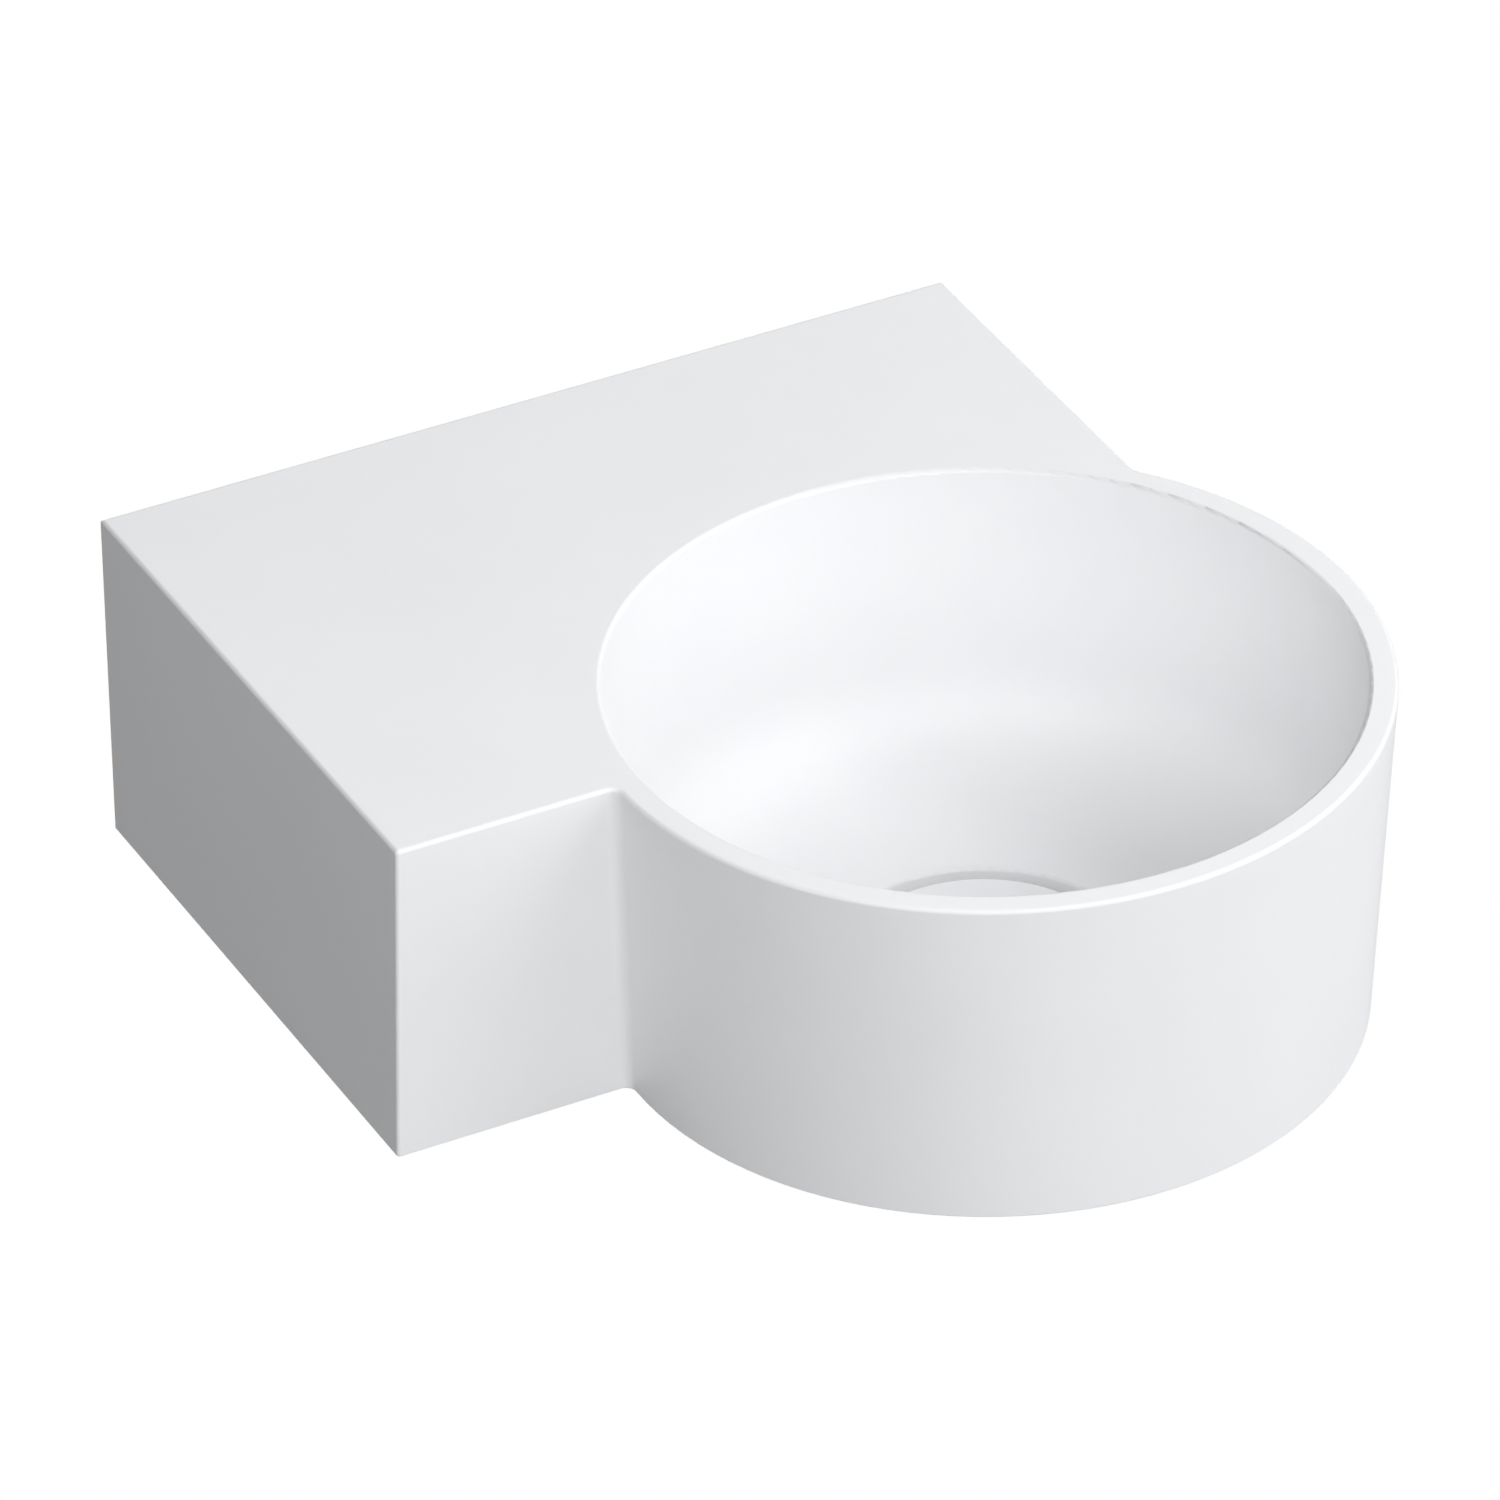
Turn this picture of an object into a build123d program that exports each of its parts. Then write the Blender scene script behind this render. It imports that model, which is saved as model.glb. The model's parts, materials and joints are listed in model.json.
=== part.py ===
"""Wall-hung ceramic washbasin: a box shelf with a round drum bowl at its front right corner.

Frame, in millimetres: the wall face is y = 0 and +Y points into the wall, +X runs to the
right along the wall, +Z is up. The origin is half way between the two wall studs.
"""
from build123d import *
from math import cos, radians, sin, tan
import os

# ---- driving dimensions: ceramic ----
shelf_width = 382
shelf_depth = 268
basin_height = 150
bowl_radius = 162.5           # drum outside, at the top
bowl_overhang = 38            # how far the drum stands out past the shelf's right side
basin_depth = 430
stud_height = 95              # studs above the underside
skirt_draft = 3.1             # degrees, front face and drum lean in downwards
side_draft = 0.25             # degrees, shelf sides
back_wall = 14
skirt_wall = 11.6
deck_thickness = 13
bowl_shell = 11
junction_radius = 4.5         # concave corner where the drum meets the shelf
corner_radius = 1.5           # front upright corner
top_edge_radius = 1.7
rim_edge_radius = 1.8         # inner edge of the rim
foot_edge_radius = 0.7

# ---- driving dimensions: bowl inside, heights above the underside ----
wall_foot_height = 62         # where the straight wall starts to curve in
floor_height = 16.6
floor_slope = 2               # degrees, floor falls to the waste
recess_radius = 63
recess_floor_radius = 60
recess_floor_height = 6
recess_edge_radius = 2.6
recess_foot_radius = 3
counterbore_radius = 33
counterbore_floor_height = 3
drain_radius = 23
boss_foot_height = -8
boss_radius = 74

# ---- driving dimensions: waste, all round on the bowl's axis ----
play = 0.05                   # radial play of a running or threaded pair
rest_gap = 0.3                # gap between moving and fixed faces
cover_radius = 54
cover_top_height = 17.4
cover_thickness = 6
cover_edge_radius = 1.8
cover_travel = 9
outlet_radius = 20.955        # G 1 1/4 outside thread
outlet_bore = 18.5
outlet_foot_height = -62
outlet_thread_length = 26
thread_relief_depth = 0.8
thread_relief_width = 3
thread_lead = 1
flange_radius = 32
flange_thickness = 2.5
flange_lip_radius = 1
seal_thickness = 1.5
seat_bevel = 0.8
seal_bevel = 0.6
carrier_radius = 24
carrier_thickness = 2
socket_radius = 6
socket_foot = 3.6
plug_seal_radius = 23
plug_seal_bore = 14
plunger_radius = 2.5
stem_chamfer = 0.5
collar_radius = 5
collar_thickness = 2.2
rotor_radius = 4.8
rotor_height = 4
rotor_teeth = 8
rotor_notch_length = 3
rotor_notch_width = 1
rotor_notch_depth = 1
rotor_notch_slant = 30        # degrees
spring_radius = 3.9
spring_wire = 0.9
spring_turns = 5
hub_top = -10
hub_foot = -18
hub_radius = 9.5
spider_arms = 3
spider_arm_width = 3
housing_radius = 6.45
housing_bore = 5.3
housing_collar_radius = 8.5
housing_collar = 4
housing_foot = -44
housing_floor = 2
cap_thickness = 3
cap_spigot = 3
oring_wire = 1.3
oring_seat_radius = 4.4
oring_seat_depth = 1.8
locknut_flats = 19
locknut_thickness = 4
gasket_radius = 33
gasket_thickness = 4
gasket_cone = 5
gasket_cone_taper = 18        # degrees
slip_washer_thickness = 1.5
backnut_radius = 34
backnut_thickness = 9
backnut_notches = 8
backnut_notch_radius = 5
backnut_chamfer = 0.8

# ---- driving dimensions: wall fixing ----
stud_spacing = 280
stud_radius = 5               # M10
stud_hole_radius = 10
stud_inner_end = -40
stud_wall_end = 58
stud_point = 12
stud_point_taper = 18         # degrees
plug_radius = 7
plug_length = 62
plug_slit = 1.2
plug_solid_length = 8
sleeve_bore = 5.3
sleeve_collar_radius = 17
sleeve_collar = 3
stud_washer_radius = 15
stud_washer_thickness = 2.5
stud_nut_flats = 17
stud_nut_thickness = 8
nut_bevel = 0.8
cap_radius = 12
cap_wall = 1.6
cap_dome_radius = 4
cap_end = -44

# ---- worked out from the above ----
underside = -stud_height
bowl_x = shelf_width / 2 + bowl_overhang - bowl_radius
bowl_y = bowl_radius - basin_depth
rim_radius = bowl_radius - skirt_wall
mouth_height = basin_height + 10
cover_foot = cover_top_height - cover_thickness
carrier_foot = cover_foot - carrier_thickness
plunger_top = carrier_foot
flange_foot = counterbore_floor_height + seal_thickness
flange_top = flange_foot + flange_thickness
housing_top = hub_top + housing_collar
cap_top = housing_top + cap_thickness
collar_top = housing_top - cap_spigot - cover_travel - rest_gap
collar_foot = collar_top - collar_thickness
rotor_foot = collar_foot - play - rotor_height
plunger_foot = rotor_foot - 1
spring_foot = housing_foot + housing_floor
gasket_foot = boss_foot_height - gasket_thickness
washer_foot = gasket_foot - slip_washer_thickness
backnut_foot = washer_foot - backnut_thickness
sleeve_face = -back_wall - sleeve_collar
washer_face = sleeve_face - stud_washer_thickness
bowl_section = Plane((bowl_x, bowl_y, underside), x_dir=(1, 0, 0), z_dir=(0, -1, 0))
stud_places = [-stud_spacing / 2, stud_spacing / 2]


def height_plane(height):
    """Level plane on the bowl's axis, at a height above the underside."""
    return Plane((bowl_x, bowl_y, underside + height))


def wall_plane(depth):
    """Upright plane at y = depth that looks along +Y, for parts on the studs."""
    return Plane((0, depth, 0), x_dir=(1, 0, 0), z_dir=(0, 1, 0))


def ring(inner, outer, low, high):
    """Round sleeve on the bowl's axis between two heights."""
    with BuildPart() as sleeve:
        with BuildSketch(height_plane(low)):
            Circle(outer)
            if inner > 0:
                Circle(inner, mode=Mode.SUBTRACT)
        extrude(amount=high - low)
    return sleeve.part


def stud_sleeve(inner, outer, near, far):
    """One round sleeve on each stud between two depths."""
    with BuildPart() as sleeves:
        with BuildSketch(wall_plane(near)):
            with Locations([(x, 0) for x in stud_places]):
                Circle(outer)
                if inner > 0:
                    Circle(inner, mode=Mode.SUBTRACT)
        extrude(amount=far - near)
    return sleeves.part


def finish(piece, label):
    """Name a piece and write its STEP file."""
    piece.label = label
    export_step(piece, f"parts/{label}.step")


# ---- ceramic ----

def inner_curve(inset=0):
    """Bowl wall and floor in section, from rim to waste, set back into the clay by inset."""
    draft_angle = radians(skirt_draft)
    wall_foot = rim_radius + inset - (basin_height - wall_foot_height) * tan(draft_angle)
    wall_top = rim_radius + inset + (mouth_height - basin_height) * tan(draft_angle)
    floor_edge = recess_radius + 3
    low = floor_height - inset
    wall_pull = 31 + inset / 3
    floor_pull = 47
    slope = radians(floor_slope)
    foot_point = (wall_foot, wall_foot_height)
    floor_point = (floor_edge, low)
    wall_handle = (wall_foot - wall_pull * sin(draft_angle), wall_foot_height - wall_pull)
    floor_handle = (floor_edge + floor_pull * cos(slope), low + floor_pull * sin(slope))
    return (wall_top, mouth_height), foot_point, wall_handle, floor_handle, floor_point


def bowl_solid(inset, top_height):
    """Round solid bounded by the bowl's curve set back by inset, up to a height."""
    start, foot_point, wall_handle, floor_handle, floor_point = inner_curve(inset)
    with BuildPart() as solid:
        with BuildSketch(bowl_section):
            with BuildLine():
                Line(start, foot_point)
                Bezier(foot_point, wall_handle, floor_handle, floor_point)
                Polyline(floor_point, (0, floor_point[1]), (0, start[1]), start)
            make_face()
        revolve(axis=Axis((bowl_x, bowl_y, 0), (0, 0, 1)))
        split(bisect_by=height_plane(top_height), keep=Keep.BOTTOM)
    return solid.part


def drafted_block(inset, low, high):
    """Shelf block with leaning sides and front, set in by inset, between two heights."""
    back = -back_wall if inset else 0

    def lean(height, draft):
        return inset + (basin_height - height) * tan(radians(draft))

    def front(height):
        return (lean(height, skirt_draft) - shelf_depth, underside + height)

    def side(height, turn):
        return (turn * (shelf_width / 2 - lean(height, side_draft)), underside + height)

    with BuildPart() as block:
        with BuildSketch(Plane.YZ):
            Polygon((back, underside + low), front(low), front(high), (back, underside + high),
                    align=None)
        extrude(amount=shelf_width, both=True)
        with BuildSketch(Plane.XZ):
            Polygon(side(low, -1), side(low, 1), side(high, 1), side(high, -1), align=None)
        extrude(amount=2 * shelf_depth, both=True, mode=Mode.INTERSECT)
    return block.part


def drum(inset, low, high):
    """Leaning-in round drum, set in by inset, between two heights."""
    def radius(height):
        return bowl_radius - inset - (basin_height - height) * tan(radians(skirt_draft))

    with BuildPart() as solid:
        with BuildSketch(height_plane(low)):
            Circle(radius(low))
        with BuildSketch(height_plane(high)):
            Circle(radius(high))
        loft()
    return solid.part


def hollow():
    """Space inside the casting, open underneath: shelf and drum less the bowl's own shell."""
    under = -5
    ceiling = basin_height - deck_thickness
    with BuildPart() as space:
        add(drafted_block(skirt_wall, under, ceiling))
        fillet(space.edges().filter_by(lambda e: abs((e @ 1).Z - (e @ 0).Z) > ceiling / 2), 9)
        add(drum(skirt_wall, under, ceiling))
        add(bowl_solid(bowl_shell, basin_height + 1), mode=Mode.SUBTRACT)
        add(ring(0, boss_radius, under - 1, floor_height), mode=Mode.SUBTRACT)
    return space.part


def recess():
    """Round groove and well under the waste cover, with the drain hole."""
    lean = (recess_radius - recess_floor_radius) / (floor_height - recess_floor_height)
    above = floor_height + 2
    below = boss_foot_height - 1
    with BuildPart() as cut:
        with BuildSketch(bowl_section):
            with BuildLine():
                Polyline(
                    (0, below), (drain_radius, below),
                    (drain_radius, counterbore_floor_height),
                    (counterbore_radius, counterbore_floor_height),
                    (counterbore_radius, recess_floor_height),
                    (recess_floor_radius, recess_floor_height),
                    (recess_radius + 2 * lean, above), (0, above), (0, below),
                )
            make_face()
        revolve(axis=Axis((bowl_x, bowl_y, 0), (0, 0, 1)))
    return cut.part


def level_at(height):
    """Test for edges that lie level at a height above the underside."""
    level = underside + height

    def test(edge):
        box = edge.bounding_box()
        return abs(box.min.Z - level) < 0.01 and abs(box.max.Z - level) < 0.01
    return test


def round_edge(solid, height, radius):
    """The solid's round edge at a height that is nearest to a radius."""
    circles = solid.edges().filter_by(level_at(height)).filter_by(GeomType.CIRCLE)
    return circles.sort_by(lambda e: abs(e.radius - radius))[0]


def is_upright(edge):
    """Whether an edge climbs the basin's outside from the underside to the top edge."""
    return edge.bounding_box().size.Z > basin_height - 2 * top_edge_radius


def from_bowl_axis(edge):
    """Distance of an edge's middle from the bowl's axis, seen from above."""
    middle = edge.center()
    return (Vector(middle.X, middle.Y, 0) - Vector(bowl_x, bowl_y, 0)).length


def make_basin():
    """Ceramic casting: shelf and drum in one skin, with bowl, drain boss and stud holes."""
    with BuildPart() as basin:
        add(drafted_block(0, 0, basin_height))
        front_corners = [e for e in basin.edges().filter_by(is_upright)
                         if e.center().Y < -shelf_depth / 2]
        fillet(front_corners, corner_radius)
        add(drum(0, 0, basin_height))
        inside_corners = [e for e in basin.edges().filter_by(is_upright)
                          if from_bowl_axis(e) < bowl_radius]
        fillet(inside_corners, junction_radius)
        fillet(basin.edges().filter_by(level_at(basin_height)), top_edge_radius)
        fillet(basin.edges().filter_by(level_at(0)), foot_edge_radius)
        add(hollow(), mode=Mode.SUBTRACT)
        add(ring(0, boss_radius, boss_foot_height, floor_height - 1))
        add(bowl_solid(0, mouth_height), mode=Mode.SUBTRACT)
        fillet(round_edge(basin, basin_height, rim_radius), rim_edge_radius)
        add(recess(), mode=Mode.SUBTRACT)
        fillet(round_edge(basin, floor_height, recess_radius), recess_edge_radius)
        fillet(round_edge(basin, recess_floor_height, recess_floor_radius), recess_foot_radius)
        fillet(round_edge(basin, boss_foot_height, boss_radius), rim_edge_radius)
        add(stud_sleeve(0, stud_hole_radius, -back_wall - 1, 1), mode=Mode.SUBTRACT)
    return basin.part


# ---- waste: cover and plug, which move ----

def make_cover():
    """Ceramic disc with softly rounded upper edge."""
    with BuildPart() as cover:
        add(ring(0, cover_radius, cover_foot, cover_top_height))
        fillet(cover.edges().sort_by(Axis.Z)[-1], cover_edge_radius)
        fillet(cover.edges().sort_by(Axis.Z)[0], cover_edge_radius / 2)
    return cover.part


def make_carrier():
    """Brass plate bonded under the cover, with the socket that screws on the plunger."""
    with BuildPart() as carrier:
        add(ring(0, carrier_radius, carrier_foot, cover_foot))
        add(ring(0, socket_radius, socket_foot, carrier_foot))
        with Locations(Plane((bowl_x, bowl_y, underside + socket_foot), z_dir=(0, 0, -1))):
            Hole(plunger_radius + play, depth=plunger_top - socket_foot + rest_gap)
    return carrier.part


def make_plug_seal():
    """Rubber ring under the carrier, bevelled where it closes on the flange."""
    with BuildPart() as seal:
        add(ring(plug_seal_bore, plug_seal_radius, flange_top + rest_gap, carrier_foot))
        chamfer(seal.edges().group_by(Axis.Z)[0].sort_by(SortBy.RADIUS)[-1], seal_bevel)
    return seal.part


def make_plunger():
    """Steel stem with the collar that the latch rotor pushes against."""
    with BuildPart() as plunger:
        add(ring(0, plunger_radius, plunger_foot, plunger_top))
        add(ring(0, collar_radius, collar_foot, collar_top))
        chamfer(plunger.edges().sort_by(Axis.Z)[0], stem_chamfer)
    return plunger.part


def make_latch_rotor():
    """Plastic ring with eight slanting teeth on its lower edge."""
    with BuildPart() as rotor:
        add(ring(plunger_radius + play, rotor_radius, rotor_foot, collar_foot - play))
        with Locations(height_plane(rotor_foot)):
            with PolarLocations(rotor_radius, rotor_teeth):
                Box(rotor_notch_length, rotor_notch_width, 2 * rotor_notch_depth,
                    rotation=(rotor_notch_slant, 0, 0), mode=Mode.SUBTRACT)
    return rotor.part


def make_spring():
    """Compression spring between the cartridge's floor and the rotor, plug down."""
    length = rotor_foot - spring_foot - spring_wire
    turn_height = length / spring_turns
    start = Plane((bowl_x, bowl_y, underside + spring_foot + spring_wire / 2))
    with BuildPart() as spring:
        with BuildLine(start):
            coil = Helix(turn_height, length, spring_radius)
        with BuildSketch(Plane(coil @ 0, z_dir=coil % 0)):
            Circle(spring_wire / 2)
        sweep()
    return spring.part


# ---- waste: cartridge, body and seals, which stay ----

def make_cartridge_housing():
    """Plastic tube with a closed floor and a collar that rests on the spider's hub."""
    with BuildPart() as housing:
        add(ring(0, housing_radius, housing_foot, hub_top))
        add(ring(0, housing_collar_radius, hub_top, housing_top))
        add(ring(0, housing_bore, spring_foot, housing_top), mode=Mode.SUBTRACT)
        chamfer(housing.edges().sort_by(Axis.Z)[0], stem_chamfer)
    return housing.part


def make_cartridge_cap():
    """Brass cap that closes the cartridge and guides the plunger, with an O-ring seat."""
    with BuildPart() as cap:
        add(ring(0, housing_collar_radius, housing_top, cap_top))
        add(ring(0, housing_bore - play, housing_top - cap_spigot, housing_top))
        add(ring(0, plunger_radius + play, housing_top - cap_spigot, cap_top), mode=Mode.SUBTRACT)
        add(ring(0, oring_seat_radius, cap_top - oring_seat_depth, cap_top), mode=Mode.SUBTRACT)
        chamfer(cap.edges().group_by(Axis.Z)[-1].sort_by(SortBy.RADIUS)[-1], stem_chamfer)
    return cap.part


def make_plunger_oring():
    """O-ring in the cap's seat."""
    middle = plunger_radius + rest_gap + oring_wire / 2
    with BuildPart() as oring:
        with Locations(height_plane(cap_top - oring_seat_depth + oring_wire / 2)):
            Torus(middle, oring_wire / 2)
    return oring.part


def hex_nut(across_flats, bore, plane, places, thickness):
    """Hexagon nuts standing on a plane, one at each place, corners bevelled on the far side."""
    corner = across_flats / 2 / cos(radians(30))
    with BuildPart() as nuts:
        with BuildSketch(plane):
            with Locations(places):
                Circle(corner)
        extrude(amount=thickness)
        far_rims = nuts.edges().filter_by(lambda e: plane.to_local_coords(e.center()).Z > thickness / 2)
        chamfer(far_rims.filter_by(GeomType.CIRCLE), nut_bevel, nut_bevel * 2)
        with BuildSketch(plane):
            with Locations(places):
                RegularPolygon(across_flats / 2, 6, major_radius=False)
        extrude(amount=thickness, mode=Mode.INTERSECT)
        with BuildSketch(plane):
            with Locations(places):
                Circle(bore)
        extrude(amount=thickness, mode=Mode.SUBTRACT)
    return nuts.part


def make_cartridge_locknut():
    """Thin brass nut that holds the cartridge up against the spider's hub."""
    low = height_plane(hub_foot - locknut_thickness)
    return hex_nut(locknut_flats, housing_radius + play, low, [(0, 0)], locknut_thickness)


def make_waste_body():
    """Chromed brass waste: flange, threaded barrel and the spider that holds the cartridge."""
    with BuildPart() as body:
        add(ring(0, outlet_radius, outlet_foot_height, flange_top))
        relief_foot = outlet_foot_height + outlet_thread_length
        add(ring(outlet_radius - thread_relief_depth, outlet_radius + 1,
                 relief_foot, relief_foot + thread_relief_width), mode=Mode.SUBTRACT)
        add(ring(0, flange_radius, flange_foot, flange_top))
        add(ring(0, outlet_bore, outlet_foot_height, flange_top), mode=Mode.SUBTRACT)
        outer_lip = body.edges().group_by(Axis.Z)[-1].sort_by(SortBy.RADIUS)
        fillet(outer_lip[-1], flange_lip_radius)
        chamfer(body.edges().group_by(Axis.Z)[-1].sort_by(SortBy.RADIUS)[0], seat_bevel)
        chamfer(body.edges().group_by(Axis.Z)[0].sort_by(SortBy.RADIUS)[-1], thread_lead)
        add(ring(0, hub_radius, hub_foot, hub_top))
        with BuildSketch(height_plane(hub_foot)):
            with PolarLocations(outlet_bore / 2, spider_arms):
                Rectangle(outlet_bore + 1, spider_arm_width)
        extrude(amount=hub_top - hub_foot)
        add(ring(0, housing_radius + play, hub_foot, hub_top), mode=Mode.SUBTRACT)
    return body.part


def make_flange_seal():
    """Rubber ring between the flange and the counterbore in the clay."""
    return ring(outlet_radius + play, flange_radius - 1, counterbore_floor_height, flange_foot)


def make_underside_gasket():
    """Thick rubber gasket under the drain boss, coned into the drain hole."""
    with BuildPart() as gasket:
        add(ring(0, gasket_radius, gasket_foot, boss_foot_height))
        with BuildSketch(height_plane(boss_foot_height)):
            Circle(drain_radius - play)
        extrude(amount=gasket_cone, taper=gasket_cone_taper)
        add(ring(0, outlet_radius + play, gasket_foot, boss_foot_height + gasket_cone + 1),
            mode=Mode.SUBTRACT)
    return gasket.part


def make_slip_washer():
    """Nylon washer between the gasket and the backnut."""
    return ring(outlet_radius + play, gasket_radius - 1, washer_foot, gasket_foot)


def make_backnut():
    """Brass ring nut with eight grip notches round its edge."""
    with BuildPart() as nut:
        add(ring(outlet_radius + play, backnut_radius, backnut_foot, washer_foot))
        with BuildSketch(height_plane(backnut_foot - 1)):
            with PolarLocations(backnut_radius + backnut_notch_radius / 2, backnut_notches):
                Circle(backnut_notch_radius)
        extrude(amount=washer_foot - backnut_foot + 2, mode=Mode.SUBTRACT)
        rims = nut.edges().filter_by(GeomType.CIRCLE).filter_by(lambda e: e.radius > gasket_radius)
        chamfer(rims, backnut_chamfer)
    return nut.part


# ---- wall fixing, one of each on each stud ----

def make_wall_plugs():
    """Nylon plugs flush with the wall, split lengthwise for most of their length."""
    with BuildPart() as plugs:
        add(stud_sleeve(stud_radius + play, plug_radius, 0, plug_length))
        with BuildSketch(wall_plane(plug_solid_length)):
            with Locations([(x, 0) for x in stud_places]):
                Rectangle(plug_slit, 2 * plug_radius + 1)
        extrude(amount=plug_length - 2 * plug_solid_length, mode=Mode.SUBTRACT)
    return plugs.part


def make_wall_studs():
    """Hanger bolts: machine thread into the room, pointed screw thread in the wall plug."""
    with BuildPart() as studs:
        add(stud_sleeve(0, stud_radius, stud_inner_end, stud_wall_end - stud_point))
        with BuildSketch(wall_plane(stud_wall_end - stud_point)):
            with Locations([(x, 0) for x in stud_places]):
                Circle(stud_radius)
        extrude(amount=stud_point, taper=stud_point_taper)
        chamfer(studs.edges().group_by(Axis.Y)[0], stem_chamfer)
    return studs.part


def make_stud_sleeves():
    """Nylon collar sleeves that centre the studs in the clay."""
    with BuildPart() as sleeves:
        add(stud_sleeve(sleeve_bore, stud_hole_radius - rest_gap, -back_wall, -1))
        add(stud_sleeve(sleeve_bore, sleeve_collar_radius, sleeve_face, -back_wall))
    return sleeves.part


def make_stud_washers():
    """Steel washers on the sleeves' collars."""
    return stud_sleeve(sleeve_bore, stud_washer_radius, washer_face, sleeve_face)


def make_stud_nuts():
    """M10 nuts with their bevelled side towards the room."""
    facing_room = Plane((0, washer_face, 0), x_dir=(1, 0, 0), z_dir=(0, -1, 0))
    places = [(x, 0) for x in stud_places]
    return hex_nut(stud_nut_flats, stud_radius + play, facing_room, places, stud_nut_thickness)


def make_nut_caps():
    """Plastic caps pushed over the nuts, with a domed end."""
    with BuildPart() as caps:
        add(stud_sleeve(0, cap_radius, cap_end, washer_face - play))
        fillet(caps.edges().group_by(Axis.Y)[0], cap_dome_radius)
        add(stud_sleeve(0, cap_radius - cap_wall, cap_end + cap_wall, washer_face), mode=Mode.SUBTRACT)
    return caps.part


os.makedirs("parts", exist_ok=True)
pieces = {
    "basin": make_basin,
    "waste_cover": make_cover,
    "cover_carrier": make_carrier,
    "plug_seal": make_plug_seal,
    "plunger": make_plunger,
    "latch_rotor": make_latch_rotor,
    "plunger_spring": make_spring,
    "cartridge_housing": make_cartridge_housing,
    "cartridge_cap": make_cartridge_cap,
    "plunger_oring": make_plunger_oring,
    "cartridge_locknut": make_cartridge_locknut,
    "waste_body": make_waste_body,
    "flange_seal": make_flange_seal,
    "underside_gasket": make_underside_gasket,
    "slip_washer": make_slip_washer,
    "backnut": make_backnut,
    "wall_plugs": make_wall_plugs,
    "wall_studs": make_wall_studs,
    "stud_sleeves": make_stud_sleeves,
    "stud_washers": make_stud_washers,
    "stud_nuts": make_stud_nuts,
    "nut_caps": make_nut_caps,
}
for label, make in pieces.items():
    finish(make(), label)
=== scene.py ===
import bpy
import bmesh
import json
import math
from mathutils import Matrix, Vector


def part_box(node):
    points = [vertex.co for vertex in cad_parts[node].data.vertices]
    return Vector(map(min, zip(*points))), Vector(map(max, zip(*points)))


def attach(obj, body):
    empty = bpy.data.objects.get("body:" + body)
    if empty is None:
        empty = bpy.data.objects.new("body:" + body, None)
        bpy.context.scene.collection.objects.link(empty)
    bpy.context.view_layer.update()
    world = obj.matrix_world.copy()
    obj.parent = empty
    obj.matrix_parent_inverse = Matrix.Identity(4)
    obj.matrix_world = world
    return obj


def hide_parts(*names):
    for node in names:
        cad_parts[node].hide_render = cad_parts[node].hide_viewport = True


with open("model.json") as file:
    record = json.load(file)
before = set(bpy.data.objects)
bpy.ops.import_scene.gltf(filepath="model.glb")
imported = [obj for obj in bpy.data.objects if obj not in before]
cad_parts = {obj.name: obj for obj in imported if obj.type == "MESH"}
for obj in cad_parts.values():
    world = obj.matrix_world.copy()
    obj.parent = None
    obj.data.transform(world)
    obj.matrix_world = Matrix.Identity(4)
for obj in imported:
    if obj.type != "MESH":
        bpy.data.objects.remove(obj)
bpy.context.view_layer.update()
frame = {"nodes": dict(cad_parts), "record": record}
nodes = frame["nodes"]
mm = 0.001

# places taken from the frame
basinLow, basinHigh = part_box("basin")
coverLow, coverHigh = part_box("waste_cover")
plugsLow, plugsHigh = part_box("wall_plugs")
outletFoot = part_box("waste_body")[0].z
basinMiddle = (basinLow + basinHigh) / 2
bowlAxis = Vector(((coverLow.x + coverHigh.x) / 2, (coverLow.y + coverHigh.y) / 2, 0))
plugRadius = (plugsHigh.z - plugsLow.z) / 2
studPlaces = [plugsLow.x + plugRadius, plugsHigh.x - plugRadius]


def linearColour(hexCode):  # sRGB hex to the linear colour that shaders and lights use
    channels = [int(hexCode[i:i + 2], 16) / 255 for i in (1, 3, 5)]
    return [c / 12.92 if c <= 0.04045 else ((c + 0.055) / 1.055) ** 2.4 for c in channels] + [1.0]


def addNode(tree, kind, settings=None, links=None):
    node = tree.nodes.new(kind)
    for name, value in (settings or {}).items():
        if isinstance(name, int) or name in node.inputs:
            node.inputs[name].default_value = value
        else:
            setattr(node, name, value)
    for name, source in (links or {}).items():
        tree.links.new(source, node.inputs[name])
    return node


def newMaterial(name):
    material = bpy.data.materials.new(name)
    material.use_nodes = True
    tree = material.node_tree
    tree.nodes.clear()
    shader = addNode(tree, "ShaderNodeBsdfPrincipled")
    addNode(tree, "ShaderNodeOutputMaterial", links={"Surface": shader.outputs["BSDF"]})
    place = addNode(tree, "ShaderNodeTexCoord").outputs["Object"]
    return material, tree, shader, place


# vitreous china under a satin white glaze, slip cast and fired: even soft white, a faint orange peel,
# and bare biscuit where the back is ground flat for the wall
chinaLook = {
    "white": "#F1F1F1", "pooled": "#ECECEE", "biscuit": "#E7E1D4",
    "roughness": (0.48, 0.52), "biscuitRoughness": 0.85, "ior": 1.52,
    "cloudSize": 70 * mm, "peelSize": 7 * mm, "peelDepth": 0.03 * mm,
    "grainSize": 0.8 * mm, "grainDepth": 0.12 * mm, "grindDepth": 0.6 * mm,
}


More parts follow.
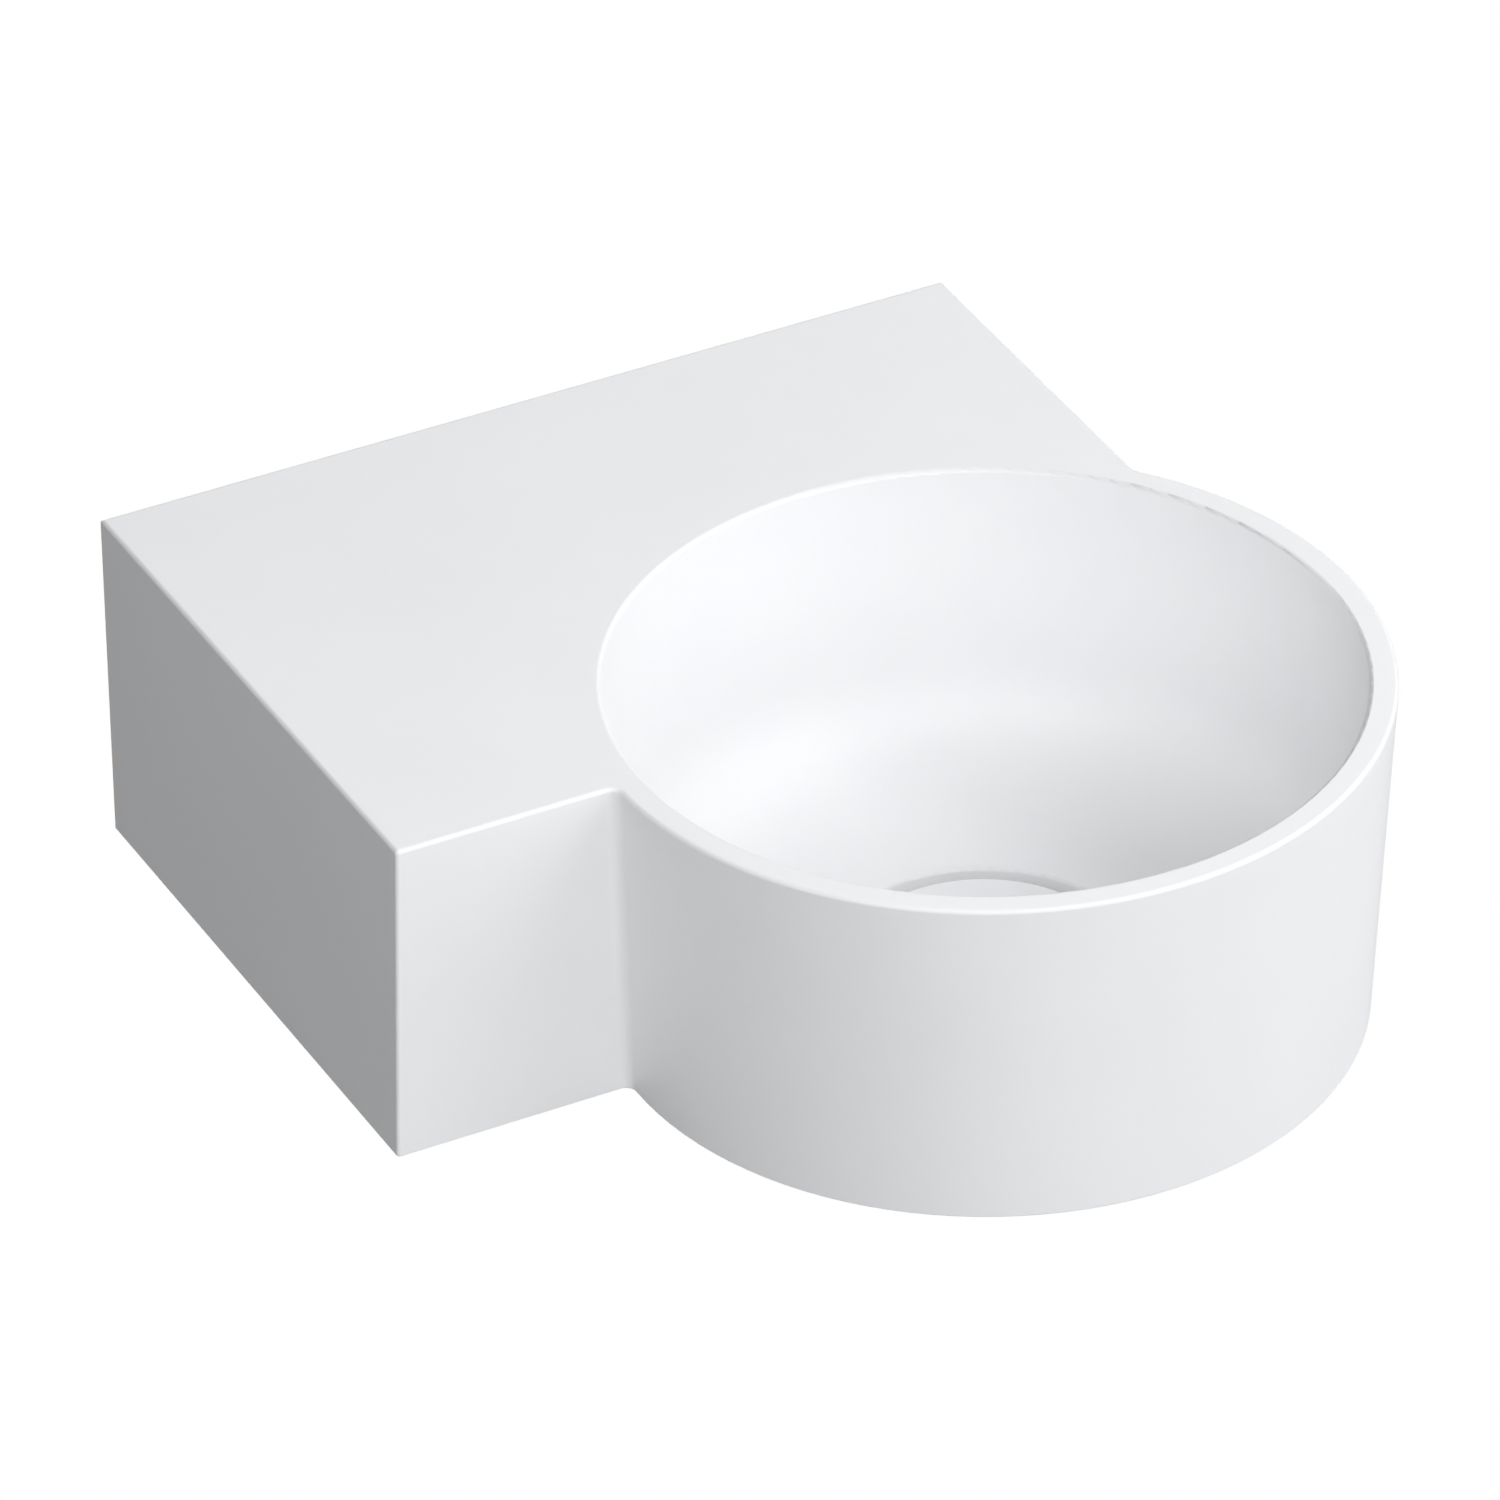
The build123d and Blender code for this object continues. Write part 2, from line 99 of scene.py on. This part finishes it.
def glazedChina(name, bareBack):
    look = chinaLook
    material, tree, shader, place = newMaterial(name)
    cloud = addNode(tree, "ShaderNodeTexNoise", {"Scale": 1 / look["cloudSize"], "Detail": 3.0},
                    {"Vector": place})
    peel = addNode(tree, "ShaderNodeTexNoise", {"Scale": 1 / look["peelSize"], "Detail": 1.5},
                   {"Vector": place})
    colour = addNode(tree, "ShaderNodeMix", {
        "data_type": "RGBA", 6: linearColour(look["white"]), 7: linearColour(look["pooled"]),
    }, {"Factor": cloud.outputs["Fac"]}).outputs[2]
    smooth, dull = look["roughness"]
    rough = addNode(tree, "ShaderNodeMapRange", {"To Min": smooth, "To Max": dull},
                    {"Value": cloud.outputs["Fac"]}).outputs["Result"]
    bump = addNode(tree, "ShaderNodeBump", {"Distance": look["peelDepth"], "Strength": 1.0},
                   {"Height": peel.outputs["Fac"]})
    if bareBack:  # biscuit within grindDepth of the wall plane, with the grain of the fired body
        depth = addNode(tree, "ShaderNodeSeparateXYZ", links={"Vector": place}).outputs["Y"]
        bare = addNode(tree, "ShaderNodeMapRange", {
            "From Min": basinHigh.y - 2 * look["grindDepth"], "From Max": basinHigh.y - look["grindDepth"],
        }, {"Value": depth}).outputs["Result"]
        colour = addNode(tree, "ShaderNodeMix", {"data_type": "RGBA", 7: linearColour(look["biscuit"])},
                         {"Factor": bare, 6: colour}).outputs[2]
        rough = addNode(tree, "ShaderNodeMix", {3: look["biscuitRoughness"]},
                        {"Factor": bare, 2: rough}).outputs[0]
        grain = addNode(tree, "ShaderNodeTexNoise", {"Scale": 1 / look["grainSize"], "Detail": 4.0},
                        {"Vector": place})
        bump = addNode(tree, "ShaderNodeBump", {"Distance": look["grainDepth"]},
                       {"Height": grain.outputs["Fac"], "Strength": bare, "Normal": bump.outputs["Normal"]})
    shader.inputs["IOR"].default_value = look["ior"]
    tree.links.new(colour, shader.inputs["Base Color"])
    tree.links.new(rough, shader.inputs["Roughness"])
    tree.links.new(bump.outputs["Normal"], shader.inputs["Normal"])
    return material


# turned metals: tool rings round the axis that a piece was turned on, and a slowly varying tarnish
waveScale = 0.314  # a wave texture of this scale repeats once a metre
metalLooks = {
    # sanded and plated brass: mirror bright, with water marks that dull it in clouds
    "polishedChromePlate": {
        "bright": "#D5D8DB", "dull": "#BFC4C8", "roughness": (0.05, 0.16),
        "ringPitch": 0.9 * mm, "ringDepth": 0.004 * mm, "cloudSize": 12 * mm, "axis": "Z", "paired": False,
    },
    # brass as it leaves the lathe: warm yellow with fine tool rings and brown tarnish
    "turnedBrass": {
        "bright": "#D9B36A", "dull": "#A9793A", "roughness": (0.22, 0.42),
        "ringPitch": 0.7 * mm, "ringDepth": 0.03 * mm, "cloudSize": 9 * mm, "axis": "Z", "paired": False,
    },
    # centreless ground stainless rod: neutral grey with close grinding lines
    "groundStainlessSteel": {
        "bright": "#C3C5C8", "dull": "#A2A5A9", "roughness": (0.16, 0.30),
        "ringPitch": 0.4 * mm, "ringDepth": 0.01 * mm, "cloudSize": 4 * mm, "axis": "Z", "paired": False,
    },
    # drawn spring wire: darker grey, slightly oiled
    "drawnSpringSteel": {
        "bright": "#9DA0A5", "dull": "#6F7378", "roughness": (0.28, 0.45),
        "ringPitch": 0.5 * mm, "ringDepth": 0.006 * mm, "cloudSize": 2 * mm, "axis": "Z", "paired": False,
    },
    # bright zinc on rolled steel: bluish grey with clouded patches
    "brightZincPlate": {
        "bright": "#C9CED4", "dull": "#9BA3AD", "roughness": (0.25, 0.48),
        "ringPitch": 0.6 * mm, "ringDepth": 0.012 * mm, "cloudSize": 5 * mm, "axis": "Y", "paired": True,
    },
}


def turnedMetal(name, centre):
    look = metalLooks[name]
    material, tree, shader, place = newMaterial(name)
    if look["paired"]:  # two pieces, mirrored about the middle, share one centre
        place = addNode(tree, "ShaderNodeVectorMath", {"operation": "ABSOLUTE"}, {0: place}).outputs["Vector"]
    centred = addNode(tree, "ShaderNodeMapping", {"Location": -centre}, {"Vector": place}).outputs["Vector"]
    rings = addNode(tree, "ShaderNodeTexWave", {
        "wave_type": "RINGS", "rings_direction": look["axis"], "Scale": waveScale / look["ringPitch"],
        "Distortion": 0.6, "Detail": 1.0,
    }, {"Vector": centred})
    lines = addNode(tree, "ShaderNodeTexWave", {
        "wave_type": "BANDS", "bands_direction": look["axis"], "Scale": waveScale / look["ringPitch"],
        "Distortion": 0.4, "Detail": 1.0,
    }, {"Vector": centred})
    marks = addNode(tree, "ShaderNodeMath", {"operation": "ADD"},
                    {0: rings.outputs["Fac"], 1: lines.outputs["Fac"]})
    bump = addNode(tree, "ShaderNodeBump", {"Distance": look["ringDepth"], "Strength": 1.0},
                   {"Height": marks.outputs["Value"]})
    cloud = addNode(tree, "ShaderNodeTexNoise", {
        "Scale": 1 / look["cloudSize"], "Detail": 4.0, "Roughness": 0.6,
    }, {"Vector": place})
    colour = addNode(tree, "ShaderNodeMix", {
        "data_type": "RGBA", 6: linearColour(look["bright"]), 7: linearColour(look["dull"]),
    }, {"Factor": cloud.outputs["Fac"]})
    smooth, dull = look["roughness"]
    rough = addNode(tree, "ShaderNodeMapRange", {"To Min": smooth, "To Max": dull},
                    {"Value": cloud.outputs["Fac"]})
    shader.inputs["Metallic"].default_value = 1.0
    tree.links.new(colour.outputs[2], shader.inputs["Base Color"])
    tree.links.new(rough.outputs["Result"], shader.inputs["Roughness"])
    tree.links.new(bump.outputs["Normal"], shader.inputs["Normal"])
    return material


# moulded rubber and plastics: mould texture at its own grain, and a mottled colour
mouldedLooks = {
    # carbon black rubber from a blasted mould: matt, dusty where it rubs
    "mouldedBlackRubber": {
        "main": "#1D1D1F", "other": "#343436", "roughness": (0.62, 0.85), "ior": 1.52,
        "grain": 0.6 * mm, "grainDepth": 0.05 * mm, "mottle": 6 * mm, "soft": 0.0,
    },
    # white acetal: dense, waxy and slightly translucent
    "mouldedWhiteAcetal": {
        "main": "#F0EFEA", "other": "#E6E4DC", "roughness": (0.30, 0.42), "ior": 1.48,
        "grain": 1.2 * mm, "grainDepth": 0.01 * mm, "mottle": 8 * mm, "soft": 0.10,
    },
    # natural nylon: creamy and translucent, with faint flow marks
    "mouldedNaturalNylon": {
        "main": "#E9E2CD", "other": "#DCD3B8", "roughness": (0.38, 0.52), "ior": 1.53,
        "grain": 1.0 * mm, "grainDepth": 0.015 * mm, "mottle": 7 * mm, "soft": 0.15,
    },
    # grey nylon of wall plugs: even mid grey with a sand-blasted mould finish
    "mouldedGreyNylon": {
        "main": "#8A8D90", "other": "#767A7E", "roughness": (0.45, 0.62), "ior": 1.53,
        "grain": 0.5 * mm, "grainDepth": 0.03 * mm, "mottle": 5 * mm, "soft": 0.05,
    },
    # glossy white polypropylene caps: brighter than the china, with a slick skin
    "mouldedWhitePolypropylene": {
        "main": "#F4F4F2", "other": "#ECECE9", "roughness": (0.18, 0.28), "ior": 1.49,
        "grain": 2.0 * mm, "grainDepth": 0.01 * mm, "mottle": 9 * mm, "soft": 0.08,
    },
}


def mouldedPlastic(name):
    look = mouldedLooks[name]
    material, tree, shader, place = newMaterial(name)
    mottle = addNode(tree, "ShaderNodeTexNoise", {"Scale": 1 / look["mottle"], "Detail": 3.0},
                     {"Vector": place})
    grain = addNode(tree, "ShaderNodeTexNoise", {"Scale": 1 / look["grain"], "Detail": 2.0},
                    {"Vector": place})
    colour = addNode(tree, "ShaderNodeMix", {
        "data_type": "RGBA", 6: linearColour(look["main"]), 7: linearColour(look["other"]),
    }, {"Factor": mottle.outputs["Fac"]})
    smooth, dull = look["roughness"]
    rough = addNode(tree, "ShaderNodeMapRange", {"To Min": smooth, "To Max": dull},
                    {"Value": grain.outputs["Fac"]})
    bump = addNode(tree, "ShaderNodeBump", {"Distance": look["grainDepth"], "Strength": 1.0},
                   {"Height": grain.outputs["Fac"]})
    shader.inputs["IOR"].default_value = look["ior"]
    shader.inputs["Subsurface Weight"].default_value = look["soft"]
    shader.inputs["Subsurface Radius"].default_value = (1.0, 0.9, 0.7)  # a little warmer inside
    shader.inputs["Subsurface Scale"].default_value = 1.5 * mm
    tree.links.new(colour.outputs[2], shader.inputs["Base Color"])
    tree.links.new(rough.outputs["Result"], shader.inputs["Roughness"])
    tree.links.new(bump.outputs["Normal"], shader.inputs["Normal"])
    return material


finishes = {
    "glazed_china": glazedChina("satinGlazedVitreousChina", True),
    "cover_china": glazedChina("satinGlazedCoverChina", False),
    "chromed_brass": turnedMetal("polishedChromePlate", bowlAxis),
    "turned_brass": turnedMetal("turnedBrass", bowlAxis),
    "stainless_steel": turnedMetal("groundStainlessSteel", bowlAxis),
    "spring_steel": turnedMetal("drawnSpringSteel", bowlAxis),
    "zinc_steel": turnedMetal("brightZincPlate", Vector((studPlaces[1], 0, 0))),
    "black_rubber": mouldedPlastic("mouldedBlackRubber"),
    "white_acetal": mouldedPlastic("mouldedWhiteAcetal"),
    "natural_nylon": mouldedPlastic("mouldedNaturalNylon"),
    "grey_nylon": mouldedPlastic("mouldedGreyNylon"),
    "white_plastic": mouldedPlastic("mouldedWhitePolypropylene"),
}
for part in frame["record"]["subparts"]:
    node = nodes[part["node"]]
    node.data.materials.clear()
    node.data.materials.append(finishes[part["material_slot"]])
print("finishes assigned to", len(nodes), "nodes")


weldDistance = 0.001 * mm


def drawOutline(bm, outline, centre, along, side):  # closed outline of (radius, distance along the axis) in mm
    corners = [bm.verts.new(centre + side * (radius * mm) + along * (reach * mm)) for radius, reach in outline]
    return corners + [bm.edges.new((corners[i - 1], corners[i])) for i in range(len(corners))]


def closeEnds(bm):
    bmesh.ops.holes_fill(bm, edges=[e for e in bm.edges if e.is_boundary], sides=0)


def turnOutline(bm, outline, centre, along, side, steps, angle=2 * math.pi):  # part of a turn gets flat ends
    whole = angle >= 2 * math.pi
    bmesh.ops.spin(bm, geom=drawOutline(bm, outline, centre, along, side), cent=centre, axis=along,
                   angle=angle, steps=steps, use_merge=whole)
    if not whole:
        closeEnds(bm)


# cross-section of a thread's ridge: half widths are shares of the pitch, heights shares of the depth
toothShape = {"sunk": 0.15, "foot": 0.49, "rootRise": 0.12, "root": 0.40, "topRise": 0.88, "topRound": 0.06}


def threadTooth(core, crest, pitch, flat):  # steep flanks, rounded crest, foot sunk in the core
    t = toothShape
    tall = crest - core
    half = [(core - t["sunk"], t["foot"]), (core, t["foot"]), (core + t["rootRise"] * tall, t["root"]),
            (core + t["topRise"] * tall, flat + t["topRound"]), (crest, flat)]
    return [(r, -s * pitch) for r, s in half] + [(r, s * pitch) for r, s in reversed(half)]


def cutThread(bm, core, crest, pitch, ends, flat, centre, along, side, steps):
    # one turn of the ridge, repeated a pitch further each time, joined and closed at both ends
    first, last = ends
    turns = int((last - first) / pitch) - 1
    ridge = bmesh.new()
    tooth = [(r, first + pitch / 2 + s) for r, s in threadTooth(core, crest, pitch, flat)]
    bmesh.ops.spin(ridge, geom=drawOutline(ridge, tooth, centre, along, side), cent=centre, axis=along,
                   dvec=along * (pitch / steps * mm), angle=2 * math.pi, steps=steps)
    oneTurn = ridge.verts[:] + ridge.edges[:] + ridge.faces[:]
    for turn in range(1, turns):
        copied = bmesh.ops.duplicate(ridge, geom=oneTurn)["geom"]
        bmesh.ops.translate(ridge, vec=along * (turn * pitch * mm),
                            verts=[v for v in copied if isinstance(v, bmesh.types.BMVert)])
    bmesh.ops.remove_doubles(ridge, verts=ridge.verts, dist=weldDistance)
    closeEnds(ridge)
    joined = bpy.data.meshes.new("ridge")
    ridge.to_mesh(joined)
    ridge.free()
    bm.from_mesh(joined)
    bpy.data.meshes.remove(joined)


def finishPiece(bm, name, slot, body, replaced, smoothBelow=32):  # edges under this many degrees look smooth
    bmesh.ops.remove_doubles(bm, verts=bm.verts, dist=weldDistance)
    bmesh.ops.recalc_face_normals(bm, faces=bm.faces)
    mesh = bpy.data.meshes.new(name)
    bm.to_mesh(mesh)
    bm.free()
    mesh.shade_smooth()
    mesh.set_sharp_from_angle(angle=math.radians(smoothBelow))
    mesh.materials.append(finishes[slot])
    piece = bpy.data.objects.new(name, mesh)
    bpy.context.scene.collection.objects.link(piece)
    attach(piece, body)
    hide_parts(replaced)
    print(name, len(mesh.polygons), "faces")


# waste body, mm above the shelf's underside: threaded barrel, round flange, and a hub on three arms
wasteSizes = {
    "foot": -62.0, "lowerThread": (-61.0, -36.0), "upperThread": (-33.0, -3.0), "pitch": 25.4 / 11,
    "crest": 20.955, "core": 19.48, "crestFlat": 0.07, "bore": 18.5, "boreEdge": 0.3, "thinned": 0.2,
    "runOut": 1.5, "flangeRadius": 32.0, "flangeFoot": 4.5, "flangeTop": 7.0,
    "lip": 1.0, "lipTurns": (0, 18, 36, 54, 72, 90), "seat": 0.8,
    "hubOuter": 9.5, "hubInner": 6.5, "hubLow": -18.0, "hubHigh": -10.0, "hubEdge": 0.4,
    "arms": 3, "armWidth": 3.0, "armEdge": 0.6, "steps": 72,
}


def makeWasteBody():
    s = wasteSizes
    centre = bowlAxis + Vector((0, 0, outletFoot - s["foot"] * mm))
    up, side = Vector((0, 0, 1)), Vector((1, 0, 0))
    lip = [(s["flangeRadius"] - s["lip"] * (1 - math.cos(turn)),
            s["flangeTop"] - s["lip"] * (1 - math.sin(turn))) for turn in map(math.radians, s["lipTurns"])]
    barrel = [
        (s["bore"], s["foot"] + s["boreEdge"]), (s["bore"] + s["boreEdge"], s["foot"]),
        (s["core"] - s["thinned"], s["foot"]), (s["core"], s["foot"] + s["boreEdge"]),
        (s["core"], s["upperThread"][1]), (s["crest"], s["upperThread"][1] + s["runOut"]),
        (s["crest"], s["flangeFoot"]), (s["flangeRadius"], s["flangeFoot"]),
    ] + lip + [(s["bore"] + s["seat"], s["flangeTop"]), (s["bore"], s["flangeTop"] - s["seat"])]
    bm = bmesh.new()
    turnOutline(bm, barrel, centre, up, side, 2 * s["steps"])
    for ends in (s["lowerThread"], s["upperThread"]):
        cutThread(bm, s["core"], s["crest"], s["pitch"], ends, s["crestFlat"], centre, up, side, s["steps"])
    outer, inner, low, high, edge = s["hubOuter"], s["hubInner"], s["hubLow"], s["hubHigh"], s["hubEdge"]
    turnOutline(bm, [(inner, low), (outer - edge, low), (outer, low + edge), (outer, high - edge),
                     (outer - edge, high), (inner, high)], centre, up, side, s["steps"])
    reach = s["bore"] + edge - (outer - edge)
    for arm in range(s["arms"]):  # made at the origin, where nothing else is, then put in its place
        made = bmesh.ops.create_cube(bm, size=1.0)["verts"]
        bmesh.ops.scale(bm, vec=Vector((reach, s["armWidth"], high - low)) * mm, verts=made)
        longEdges = [e for e in bm.edges if e.verts[0] in made and e.verts[1] in made
                     and abs(e.verts[0].co.x - e.verts[1].co.x) > mm]
        bmesh.ops.bevel(bm, geom=longEdges, offset=s["armEdge"] * mm, segments=3, affect="EDGES",
                        profile=0.5, material=-1)
        made = [v for v in bm.verts if v.co.length < reach * mm]
        turn = Matrix.Rotation(arm * 2 * math.pi / s["arms"], 3, "Z")
        bmesh.ops.translate(bm, vec=Vector((outer - edge + reach / 2, 0, (low + high) / 2)) * mm, verts=made)
        bmesh.ops.rotate(bm, cent=Vector(), matrix=turn, verts=made)
        bmesh.ops.translate(bm, vec=centre, verts=made)
    finishPiece(bm, "threadedWasteBody", "chromed_brass", "basin", "waste_body")


# hanger bolts, mm along the stud from the wall's face, minus towards the room:
# machine thread for the nut, plain shank, and a wood thread that ends in a point
studSizes = {
    "inner": -40.0, "tip": 58.0, "chamfer": 0.6, "crest": 5.0, "point": (0.4, 0.2), "axis": 0.001,
    "machineCore": 4.1, "machinePitch": 1.5, "machineThread": (-39.2, -1.5), "machineFlat": 0.08,
    "woodCore": 3.5, "woodPitch": 4.2, "woodThread": (7.0, 50.0), "woodFlat": 0.03, "woodCrest": 4.9,
    "shank": (-1.0, 6.5), "shankFoot": 0.5, "shankRunOut": 1.2, "taper": 46.0, "steps": 40,
}


def makeWallStuds():
    s = studSizes
    along, side = Vector((0, 1, 0)), Vector((0, 0, 1))
    shankStart, shankEnd = s["shank"]
    pointRadius, pointLength = s["point"]
    outline = [
        (s["axis"], s["inner"]), (s["machineCore"] - s["chamfer"], s["inner"]),
        (s["machineCore"], s["inner"] + s["chamfer"]), (s["machineCore"], shankStart - s["shankFoot"]),
        (s["crest"], shankStart), (s["crest"], shankEnd), (s["woodCore"], shankEnd + s["shankRunOut"]),
        (s["woodCore"], s["taper"]), (pointRadius, s["tip"] - pointLength), (s["axis"], s["tip"]),
    ]
    bm = bmesh.new()
    for place in studPlaces:
        centre = Vector((place, 0, 0))
        turnOutline(bm, outline, centre, along, side, s["steps"])
        cutThread(bm, s["machineCore"], s["crest"], s["machinePitch"], s["machineThread"], s["machineFlat"],
                  centre, along, side, s["steps"])
        cutThread(bm, s["woodCore"], s["woodCrest"], s["woodPitch"], s["woodThread"], s["woodFlat"],
                  centre, along, side, s["steps"])
    finishPiece(bm, "threadedWallStuds", "zinc_steel", "basin", "wall_studs")


# wall plugs, mm into the wall: solid collar, two barbed halves with a slit between, solid nose;
# each barb is drawn as shares of its pitch
plugSizes = {
    "bore": 5.05, "outer": 7.0, "root": 6.25, "collar": 8.0, "noseStart": 54.0, "length": 62.0,
    "mouthEdge": 0.4, "rim": (0.5, 1.8, 2.3), "waist": 0.4, "overlap": 0.2,
    "barbs": 10, "barbRise": (0.15, 0.35, 0.42, 0.98), "barbBlunt": 0.1, "slit": 1.2,
    "noseEdge": (0.3, 0.4, 2.5), "noseTip": (0.9, 0.5, 0.4), "smoothBelow": 25, "steps": 48,
}


def makeWallPlugs():
    s = plugSizes
    along, top = Vector((0, 1, 0)), Vector((0, 0, 1))
    bore, outer, root = s["bore"], s["outer"], s["root"]
    pitch = (s["noseStart"] - s["collar"]) / s["barbs"]
    foot, climb, peak, back = s["barbRise"]
    saw = []
    for barb in range(s["barbs"]):
        start = s["collar"] + barb * pitch
        saw += [(root, start), (root, start + foot * pitch), (outer - s["barbBlunt"], start + climb * pitch),
                (outer, start + peak * pitch), (root, start + back * pitch)]
    rimEdge, rimEnd, waistStart = s["rim"]
    collarEnd = s["collar"] + s["overlap"]
    collar = [
        (bore + s["mouthEdge"], 0), (outer - rimEdge, 0), (outer, rimEdge), (outer, rimEnd),
        (outer - s["waist"], waistStart), (outer - s["waist"], collarEnd), (bore, collarEnd),
        (bore, s["mouthEdge"]),
    ]
    noseEdge, noseRise, noseLength = s["noseEdge"]
    tipStart, tipEnd, tipBack = s["noseTip"]
    noseFoot = s["noseStart"] - s["overlap"]
    nose = [
        (bore, noseFoot), (outer - noseEdge, noseFoot), (outer, s["noseStart"] + noseRise),
        (outer - noseEdge, s["noseStart"] + noseLength), (bore + tipStart, s["length"] - tipBack),
        (bore + tipEnd, s["length"]), (bore, s["length"]),
    ]
    gap = math.asin(s["slit"] / 2 / root)
    bm = bmesh.new()
    for place in studPlaces:
        centre = Vector((place, 0, 0))
        turnOutline(bm, collar, centre, along, top, s["steps"])
        turnOutline(bm, nose, centre, along, top, s["steps"])
        for half in (0, math.pi):
            side = Matrix.Rotation(gap + half, 3, "Y") @ top
            turnOutline(bm, [(bore, s["collar"])] + saw + [(bore, s["noseStart"])],
                        centre, along, side, s["steps"] // 2, math.pi - 2 * gap)
    finishPiece(bm, "barbedWallPlugs", "grey_nylon", "basin", "wall_plugs", s["smoothBelow"])


makeWasteBody()
makeWallStuds()
makeWallPlugs()

# camera: a long lens from the front left, looking down
cameraView = {
    "azimuth": -27.21, "elevation": 33.90, "roll": -0.58,  # degrees
    "distance": 5.066, "lens": 304.8, "sensor": 36.0, "farthest": 60.0,
    "aim": Vector((-0.0099, 0.0376, 0.0092)),  # from the middle of the basin's box
}


def pointAt(azimuth, elevation):  # unit vector towards a place round the object
    return Vector((math.sin(azimuth) * math.cos(elevation), -math.cos(azimuth) * math.cos(elevation),
                   math.sin(elevation)))


def makeCamera():
    azimuth, roll = math.radians(cameraView["azimuth"]), math.radians(cameraView["roll"])
    back = pointAt(azimuth, math.radians(cameraView["elevation"]))
    camera = bpy.data.objects.new("camera", bpy.data.cameras.new("camera"))
    camera.data.lens = cameraView["lens"]
    camera.data.sensor_width = cameraView["sensor"]
    camera.data.clip_end = cameraView["farthest"]
    right = Vector((math.cos(azimuth), math.sin(azimuth), 0))
    up = back.cross(right)
    turnedRight = right * math.cos(roll) + up * math.sin(roll)
    turn = Matrix((turnedRight, back.cross(turnedRight), back)).transposed().to_4x4()
    place = basinMiddle + cameraView["aim"] + back * cameraView["distance"]
    camera.matrix_world = Matrix.Translation(place) @ turn
    bpy.context.scene.collection.objects.link(camera)
    bpy.context.scene.camera = camera


makeCamera()
print("camera set")

# round soft boxes aimed at the basin: azimuth (0 in front, 90 to the right) and elevation in degrees,
# distance and diameter in metres, power in watts
softBoxes = {
    "sideLeft": (-60, 25, 3.5, 4.0, 24.5), "frontLeft": (-30, 38, 3.5, 4.0, 79),
    "frontRight": (30, 35, 3.5, 4.0, 26), "sideRight": (60, 28, 3.5, 4.0, 72),
    "backRight": (130, 35, 3.5, 4.0, 43), "backLeft": (-110, 30, 3.5, 4.0, 17),
    "lowFront": (0, -40, 3.5, 4.0, 43), "lowRight": (90, -35, 3.5, 4.0, 33.5),
    "lowBack": (180, -14, 3.5, 1.2, 50),
    "spotFront": (-3, 26, 2.5, 0.6, 1.6), "spotFrontRight": (30, 44, 2.5, 0.6, 2.0),
    "spotRight": (83, 53, 2.5, 0.6, 6.7),
}
studioLooks = {
    "daylight": "#FDFEFF",  # a faintly cool white
    "aimBack": 0.2,  # share of the way from the bowl's axis to the wall
    "floorDrop": 0.8, "floorRadius": 30.0, "floorWhite": "#FFFFFF",  # metres below the basin, and across
}


def makeSoftBoxes():
    target = bowlAxis.lerp(Vector((0, 0, 0)), studioLooks["aimBack"])
    for name, (azimuth, elevation, distance, diameter, watts) in softBoxes.items():
        towards = pointAt(math.radians(azimuth), math.radians(elevation))
        light = bpy.data.objects.new(name, bpy.data.lights.new(name, "AREA"))
        light.data.shape = "DISK"
        light.data.size = diameter
        light.data.energy = watts
        light.data.color = linearColour(studioLooks["daylight"])[:3]
        light.location = target + towards * distance
        light.rotation_euler = towards.to_track_quat("Z", "Y").to_euler()
        light.visible_camera = False
        bpy.context.scene.collection.objects.link(light)


def makeFloor():  # an even white floor, seen by the camera only from above, that casts no light or shadow
    material = bpy.data.materials.new("evenWhitePaper")
    material.use_nodes = True
    tree = material.node_tree
    tree.nodes.clear()
    glow = addNode(tree, "ShaderNodeEmission", {"Color": linearColour(studioLooks["floorWhite"])})
    clear = addNode(tree, "ShaderNodeBsdfTransparent")
    face = addNode(tree, "ShaderNodeNewGeometry")
    both = addNode(tree, "ShaderNodeMixShader", links={
        0: face.outputs["Backfacing"], 1: glow.outputs["Emission"], 2: clear.outputs["BSDF"],
    })
    addNode(tree, "ShaderNodeOutputMaterial", links={"Surface": both.outputs["Shader"]})
    bm = bmesh.new()
    bmesh.ops.create_circle(bm, cap_ends=True, segments=64, radius=studioLooks["floorRadius"])
    bmesh.ops.translate(bm, vec=Vector((0, 0, basinLow.z - studioLooks["floorDrop"])), verts=bm.verts)
    mesh = bpy.data.meshes.new("floor")
    bm.to_mesh(mesh)
    bm.free()
    mesh.materials.append(material)
    floor = bpy.data.objects.new("floor", mesh)
    floor.visible_diffuse = floor.visible_glossy = False
    floor.visible_transmission = floor.visible_shadow = False
    bpy.context.scene.collection.objects.link(floor)


def makeSurroundings():  # white all round for the camera, dark for every other ray
    world = bpy.data.worlds.new("studio")
    world.use_nodes = True
    background = world.node_tree.nodes["Background"]
    background.inputs["Color"].default_value = linearColour(studioLooks["floorWhite"])
    background.inputs["Strength"].default_value = 1.0
    seen = world.cycles_visibility
    seen.diffuse = seen.glossy = seen.transmission = seen.scatter = False
    bpy.context.scene.world = world
    bpy.context.scene.view_settings.view_transform = "Standard"


makeSoftBoxes()
makeFloor()
makeSurroundings()
print("studio set with", len(softBoxes), "soft boxes")
